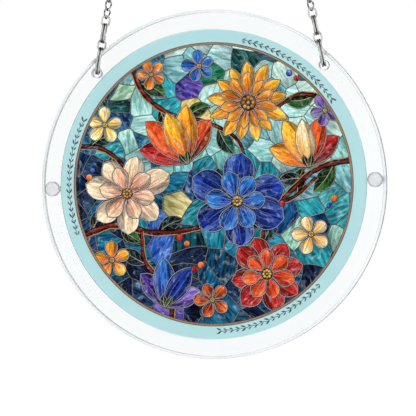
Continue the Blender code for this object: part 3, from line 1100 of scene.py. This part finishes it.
cup_blossom((-14, 12), radians(112), (
    (0.62, 30, 7.0, 0.55, CRIMSON, RED, 5), (-0.62, 29, 7.0, -0.55, CRIMSON, ORANGE, 5),
    (0.30, 35, 7.4, 0.16, RED, ORANGE, 5), (-0.30, 34, 7.2, -0.16, ORANGE, GOLD, 5),
    (0.0, 32, 6.6, 0.0, (222, 70, 28), YELLOW, 4)))
cup_blossom((56, 8), radians(96), (
    (0.70, 26, 6.2, 0.6, ORANGE, GOLD, 4), (-0.66, 25, 6.0, -0.5, CRIMSON, RED, 4),
    (0.32, 31, 6.6, 0.1, ORANGE, YELLOW, 5), (-0.28, 30, 6.4, -0.2, RED, ORANGE, 5),
    (0.02, 28, 5.6, 0.0, GOLD, CREAM, 4)))
cup_blossom((-30, -70), radians(72), (
    (0.66, 24, 6.0, 0.5, NAVY, VIOLET, 4), (-0.66, 24, 6.0, -0.5, VIOLET, LILAC, 4),
    (0.26, 29, 6.4, 0.1, VIOLET, SKY, 4), (-0.26, 28, 6.2, -0.1, NAVY, ROYAL, 4)))
open_blossom((-50, -4), (
    (7, 23, 6.6, 0.62, BLUSH, CREAM, 5), (6, 15, 4.8, 0.7, (226, 150, 120), (250, 232, 206), 4)),
    0.3, ((240, 190, 80), (120, 60, 40)), 3.2)
open_blossom((22, 46), (
    (13, 21, 3.7, 0.9, ORANGE, YELLOW, 3), (11, 14, 3.2, 0.9, (196, 84, 26), GOLD, 3)),
    0.1, ((230, 170, 70), (84, 40, 26)), 4.6)
open_blossom((14, -10), (
    (6, 25, 8.6, 0.6, NAVY, ROYAL, 5), (6, 16, 5.4, 0.66, ROYAL, SKY, 4)),
    0.5, ((250, 220, 90), (60, 40, 90)), 3.4)
open_blossom((30, -52), (
    (8, 20, 6.0, 0.75, CRIMSON, RED, 4), (7, 13, 4.2, 0.8, RED, ORANGE, 3)),
    0.2, ((250, 214, 90), (90, 30, 30)), 3.2)
SMALL = (((-62, 36), 10, YELLOW, CREAM), ((-6, 68), 9, ROYAL, SKY), ((56, -30), 10.5, GOLD, CREAM),
         ((-60, -42), 10, ORANGE, YELLOW), ((-2, -66), 9.5, CRIMSON, ORANGE),
         ((66, 40), 8.5, VIOLET, LILAC), ((-34, 64), 8.0, RED, GOLD))
for centre, size, inner, outer in SMALL:
    open_blossom(centre, ((5, size, size * 0.36, 0.62, inner, outer, 3),), rng.uniform(0, 1),
                 ((250, 226, 120), (96, 50, 36)), size * 0.17)
BERRIES = ((-20, -30, 1.9), (-16, -33.5, 1.6), (46, 62, 1.7), (50, 59, 1.4), (-72, 6, 1.8),
           (-70, 10, 1.4), (40, -12, 1.6), (70, -10, 1.9), (67, -14, 1.5), (-12, -48, 1.6),
           (-8, -46, 1.9))
for k, (x, y, radius) in enumerate(BERRIES):
    bead((x, y), radius, (RED, ORANGE, ROYAL)[k % 3], 0.28)

# %% [markdown]
# ## The border
#
# A thin bronze ring closes the glass, and a plain aqua border of paper runs
# round it. Three runs of small dark sprigs ornament the border.

# %% Draw the ring, the border and its sprigs
SPRIG = (58, 62, 72)
SPRIG_RADIUS = 84.0


def half_band(inner, outer, start, count=90):
    """Half of a flat ring, as one closed outline."""
    angle = np.linspace(start, start + pi, count)
    return np.concatenate([polar(outer, angle), polar(inner, angle)[::-1]])


def draw_sprig(angle, size):
    """A pair of leaves that lean away from a point on the border, one out and one in."""
    along = angle - pi / 2
    base = polar(SPRIG_RADIUS, angle) - polar(1.1 * size, along)
    for turn_by in (0.72, -0.72):
        leaf = Blade(base, 2.7 * size, along + turn_by, 0.36 * size, -0.6 * turn_by, 1.2, 0.8, count=6)
        lay(leaf.outline(), SPRIG, finish=LEAD, on_border=True)


for start in (0, pi):
    lay(half_band(BRONZE_RADIUS - 0.1, picture_radius / MM, start, 120), AQUA,
        finish=PAPER, on_border=True)
    lay(half_band(79.7, 81.3, start), (84, 62, 54), finish=LEAD)
    lay(half_band(80.0, 80.9, start), (158, 132, 116), (176, 140, 110), start, finish=LEAD)
for low, high, count in ((33, 76, 19), (152, 198, 20), (271, 315, 19)):
    for k, angle in enumerate(np.linspace(low, high, count)):
        draw_sprig(radians(angle), 1.0 if k % 4 else 1.25)
    vine = polar(SPRIG_RADIUS, np.radians(np.linspace(high, low, 40)))
    vine *= 1 + 0.004 * np.sin(np.linspace(0, count * pi, 40))[:, None]
    lay(ribbon(vine, 0.15), SPRIG, finish=LEAD, on_border=True)
print(f"{len(stack)} outlines in all")

# %% [markdown]
# ## From the stack to one flat sheet
#
# A constrained Delaunay triangulation keeps every outline's edges, and adds a
# corner wherever two of them cross. A triangle of it is then wholly inside or
# wholly outside each outline, so its centre alone can be tested. Going through
# the stack from the bottom up, each outline claims the centres that it winds
# round, and the last claim stands.

# %% Cut the stack into triangles and find each one's paint
def winds_round(outline, points):
    """True for points with a winding number other than 0.

    Each edge that passes a point on its right counts +1 going up, -1 going down.
    """
    x, y = outline[:, 0, None], outline[:, 1, None]
    next_x, next_y = np.roll(x, -1, axis=0), np.roll(y, -1, axis=0)
    side = (next_x - x) * (points[None, :, 1] - y) - (points[None, :, 0] - x) * (next_y - y)
    up = (y <= points[None, :, 1]) & (next_y > points[None, :, 1]) & (side > 0)
    down = (y > points[None, :, 1]) & (next_y <= points[None, :, 1]) & (side < 0)
    return (up.sum(0) - down.sum(0)) != 0


outlines = [entry[0] for entry in stack]
flat = np.concatenate(outlines)
starts = np.cumsum([0] + [len(o) for o in outlines])
index = np.arange(len(flat))
following = index + 1
following[starts[1:] - 1] = starts[:-1]
cut_map = delaunay_2d_cdt([Vector(p) for p in flat.tolist()],
                          np.stack([index, following], axis=1).tolist(), [], 0, 1e-5, False)
places = np.array([tuple(v) for v in cut_map[0]])
corners = np.array(cut_map[2])
middles = places[corners].mean(axis=1)
rank = np.argsort(middles[:, 0])
ordered = middles[rank, 0]
topmost = np.zeros(len(corners), int)
for number, outline in enumerate(outlines):
    low, high = outline.min(axis=0), outline.max(axis=0)
    near = rank[np.searchsorted(ordered, low[0]):np.searchsorted(ordered, high[0])]
    near = near[(middles[near, 1] > low[1]) & (middles[near, 1] < high[1])]
    topmost[near[winds_round(outline, middles[near])]] = number
print(f"{len(flat)} outline points, {len(places)} corners, {len(corners)} triangles a side")

# %% [markdown]
# The number of the topmost outline gives a triangle its two colours, its grain
# and its finish. They go into the mesh as attributes of the triangle's corners.

# %% Colour the triangles
first = np.array([entry[1] for entry in stack])
second = np.array([entry[2] for entry in stack])
direction = np.array([(cos(entry[3]), sin(entry[3])) for entry in stack])
finish = np.array([entry[4] for entry in stack])
reach = [(o @ d) for o, d in zip(outlines, direction)]
nearest = np.array([r.min() for r in reach])
farthest = np.array([r.max() for r in reach])
corner_places = places[corners]
along = (corner_places * direction[topmost][:, None]).sum(2)
t = np.clip((along - nearest[topmost][:, None]) / (farthest - nearest)[topmost][:, None], 0, 1)
tint = first[topmost][:, None] + (second - first)[topmost][:, None] * t[..., None]
tint = np.concatenate([tint, np.broadcast_to(finish[topmost][:, None, None], (*t.shape, 1))], axis=2)
grain = np.concatenate([direction[topmost], (topmost % 97)[:, None] / 97], axis=1)
grain = np.broadcast_to(grain[:, None], (len(corners), 3, 3))

# %% [markdown]
# The same map makes the back, as if seen through from behind, and a plain wall
# joins the two. The wall's corners are those on the circle, in order of angle.

# %% Close the sheet and store its colours
edge = np.flatnonzero(np.linalg.norm(places, axis=1) > picture_radius / MM - 0.01)
edge = edge[np.argsort(np.arctan2(places[edge, 1], places[edge, 0]))]
count = len(places)
front = np.stack([places[:, 0] * MM, np.full(count, picture_front), places[:, 1] * MM + disc_z], axis=1)
back = front.copy()
back[:, 1] = picture_back
edge_next = np.roll(edge, -1)
wall = np.stack([edge, edge + count, edge_next + count, edge_next], axis=1)
faces = corners.tolist() + (corners[:, ::-1] + count).tolist() + wall.tolist()
sheet = bpy.data.meshes.new("stained_glass_print")
sheet.from_pydata(np.concatenate([front, back]).tolist(), [], faces)


def all_round(values, wall_value):
    """Corner values of the front, of the back with its corners reversed, and of the wall."""
    width = len(wall_value)
    wall_values = np.broadcast_to(np.array(wall_value), (wall.size, width))
    return np.concatenate([values.reshape(-1, width), values[:, ::-1].reshape(-1, width), wall_values])


store(sheet, "tint", "FLOAT_COLOR", "CORNER", all_round(tint, [*rgb(206, 228, 230), PAPER]))
store(sheet, "grain", "FLOAT_VECTOR", "CORNER", all_round(grain, [1.0, 0.0, 0.5]))
print(f"the print has {len(faces)} faces")

# %% [markdown]
# ## The finish of the print
#
# Opalescent glass is never one colour. It has long streaks where two melts were
# stirred together, soft clouds, and a fine grain. Each piece of glass was cut
# from its own part of a sheet, so its streaks run its own way: the grain
# attribute turns and shifts the pattern piece by piece. Fine veins, the edges of
# a shaken Voronoi pattern, carry a darker tone of the piece's own colour. The
# lead lines get a speckle instead, and the paper border almost nothing.

# %% Material of the print
def make_print():
    """Streaks, clouds and grain over the tint that each corner carries."""
    start, end = new_material("printed_picture")
    place = start.node("ShaderNodeTexCoord", output=3)
    tint_node = start.attribute("tint", 0)
    kind = start.attribute("tint", 3)
    grain_vector = start.attribute("grain", 1)

    def part(whole, k):
        """One of a vector's three numbers."""
        return whole.node("ShaderNodeSeparateXYZ", None, {0: whole}, output=k)

    def vector(*parts):
        """A vector of three numbers."""
        return start.node("ShaderNodeCombineXYZ", None, dict(enumerate(parts)))

    c, s, seed = (part(grain_vector, k) for k in range(3))
    x, z = part(place, 0), part(place, 2)
    lengthways = x * c + z * s
    across = z * c - x * s
    streaks = vector(lengthways * 110.0, across * 520.0, seed * 31.0).noise(1.0, 3.0, 0.9)
    clouds = vector(lengthways * 190.0 + seed * 17.0, across * 240.0, seed * 13.0).noise(1.0, 4.0, 1.4)
    fine = place.noise(1500.0, 2.0)
    shake = place.noise(210.0, 1.0, output=1)
    warped = start.node("ShaderNodeVectorMath", {"operation": "MULTIPLY_ADD"},
                        {0: shake, 1: (0.006, 0.0, 0.006), 2: place})
    deep = start.node("ShaderNodeVectorMath", {"operation": "MULTIPLY"}, {0: tint_node, 1: tint_node})
    body = streaks.between(0.34, 0.66).mix(deep, tint_node)
    glass = (clouds.between(0.54, 0.78) * 0.30).mix(body, shade(236, 248, 244))
    cracks = start.node("ShaderNodeTexVoronoi", {"feature": "DISTANCE_TO_EDGE"},
                        {"Vector": warped, "Scale": 330.0, "Randomness": 1.0})
    veins = (1 - cracks.between(0.02, 0.08)) * clouds.between(0.44, 0.60)
    vein_tint = start.node("ShaderNodeVectorMath", {"operation": "MULTIPLY_ADD"},
                           {0: tint_node, 1: (0.45, 0.45, 0.45), 2: (0.07, 0.09, 0.10)})
    glass = (veins * 0.55).mix(glass, vein_tint)
    light = streaks * 0.83 + clouds * 0.83 + fine * 0.72 + -0.045
    glass = start.node("ShaderNodeGamma", None, {0: glass.scaled(light), 1: 1.14})
    metal = tint_node.scaled(fine * 1.1 + 0.33)
    paper = tint_node.scaled(clouds * 0.05 + fine * 0.04 + 0.955)
    return end({
        "Base Color": kind.between(0.6, 0.9).mix(kind.between(0.1, 0.4).mix(metal, paper), glass),
        "Roughness": fine * 0.2 + 0.34,
        "Specular IOR Level": 0.08,
    })


sheet.materials.append(make_print())
picture = bpy.data.objects.new("stained_glass_print", sheet)
bpy.context.scene.collection.objects.link(picture)
adopt(picture, "picture_disc")

# %% [markdown]
# ## Floor and light
#
# The studio is plain: a wide pale floor well below the disc, which mirrors and
# clear plastic don't show, and a world whose light depends on a ray's history.
#
# - The camera's own rays see plain white.
# - Scattered rays, which light the print and the matt walls, see an even fill.
# - Rays bent by clear plastic see white with two greyer rings round the line of
#   sight. A bevel bends light by a fixed angle, so it shows them as thin lines.
# - Rays mirrored on metal see a white room with a black cloth beside the camera,
#   which gives the wires their dark cores, and a dark wall behind the disc.
# - Rays mirrored inside a pane see a dimmer room. It is black where the flat
#   faces throw the camera's rays, or else a haze would lie over the print.

# %% Lay the floor and light the studio
FLOOR_RADIUS, FLOOR_DROP = 6.0, 0.45
FILL, ROOM, WALL = 2.12, 1.4, 0.10
INNER_ROOM, INNER_CLOTH, INNER_WALL = 1.0, 0.55, 0.5
RINGS = ((0.80, 1.0), (0.87, 0.6), (0.915, 0.98), (0.962, 0.98), (0.974, 0.5), (0.988, 0.5),
         (0.9955, 1.0))
RING_LIGHT = 1.14
CLOTH_LEFT, CLOTH_RIGHT, CLOTH_END = (-0.56, -0.46), (-0.22, -0.12), (-0.12, 0.1)
WALL_START = (0.0, 0.3)
THROWN_BACK = -0.94 * ahead - 0.34 * level

floor_mesh = bpy.data.meshes.new("floor")
angle = np.linspace(0, 2 * pi, 96, endpoint=False)
floor_points = np.stack([FLOOR_RADIUS * np.cos(angle), FLOOR_RADIUS * np.sin(angle),
                         0 * angle + disc_z - FLOOR_DROP], axis=1)
floor_mesh.from_pydata(floor_points.tolist(), [], [list(range(96))])
start, end = new_material("pale_floor")
mottle = start.node("ShaderNodeTexCoord", output=3).noise(3.0, 2.0)
floor_mesh.materials.append(end({
    "Base Color": mottle.mix(shade(247, 247, 247), shade(250, 250, 250)), "Roughness": 0.8}))
floor = bpy.data.objects.new("floor", floor_mesh)
bpy.context.scene.collection.objects.link(floor)
floor.visible_glossy = False
floor.visible_transmission = False

world = bpy.data.worlds.new("studio")
world.use_nodes = True
world.node_tree.nodes.clear()
start = Wire(world.node_tree)
heading = start.node("ShaderNodeTexCoord", output=0)


def along(direction):
    """How far a ray heads in this direction, from -1 to 1."""
    return heading.node("ShaderNodeVectorMath", {"operation": "DOT_PRODUCT"},
                        {0: heading, 1: tuple(direction)}, output=1)


def grey(level):
    """A grey light of this level."""
    return (level, level, level, 1.0)


away = along(ahead)
aside = along(level)
rings = start.node("ShaderNodeValToRGB", {"stops": [(at, (value,) * 3) for at, value in RINGS]},
                   {0: away * 0.5 + 0.5})
clear = rings.scaled(RING_LIGHT)
cloth = (1 - aside.between(*CLOTH_RIGHT)) * aside.between(*CLOTH_LEFT) * (1 - away.between(*CLOTH_END))
rear = away.between(*WALL_START)
gleam = rear.mix(cloth.mix(grey(ROOM), grey(0.0)), grey(WALL))
returned = along(THROWN_BACK).between(0.955, 0.975)
inner = returned.mix(
    rear.mix(cloth.mix(grey(INNER_ROOM), grey(INNER_CLOTH)), grey(INNER_WALL)), grey(0.0))
seen = start.node("ShaderNodeLightPath", output="Is Camera Ray")
mirrored, inside, scattered = (
    start.node("ShaderNodeLightPath", output=name + " Depth").between(0.0, 1.0)
    for name in ("Glossy", "Transmission", "Diffuse"))
unscattered = mirrored.mix(clear, inside.mix(gleam, inner))
colour = seen.mix(scattered.mix(unscattered, grey(FILL)), grey(1.0))
background = start.node("ShaderNodeBackground", None, {"Color": colour, "Strength": 1.0})
start.node("ShaderNodeOutputWorld", None, {"Surface": background})
world.cycles.sampling_method = "NONE"
bpy.context.scene.world = world
bpy.context.scene.view_settings.view_transform = "Standard"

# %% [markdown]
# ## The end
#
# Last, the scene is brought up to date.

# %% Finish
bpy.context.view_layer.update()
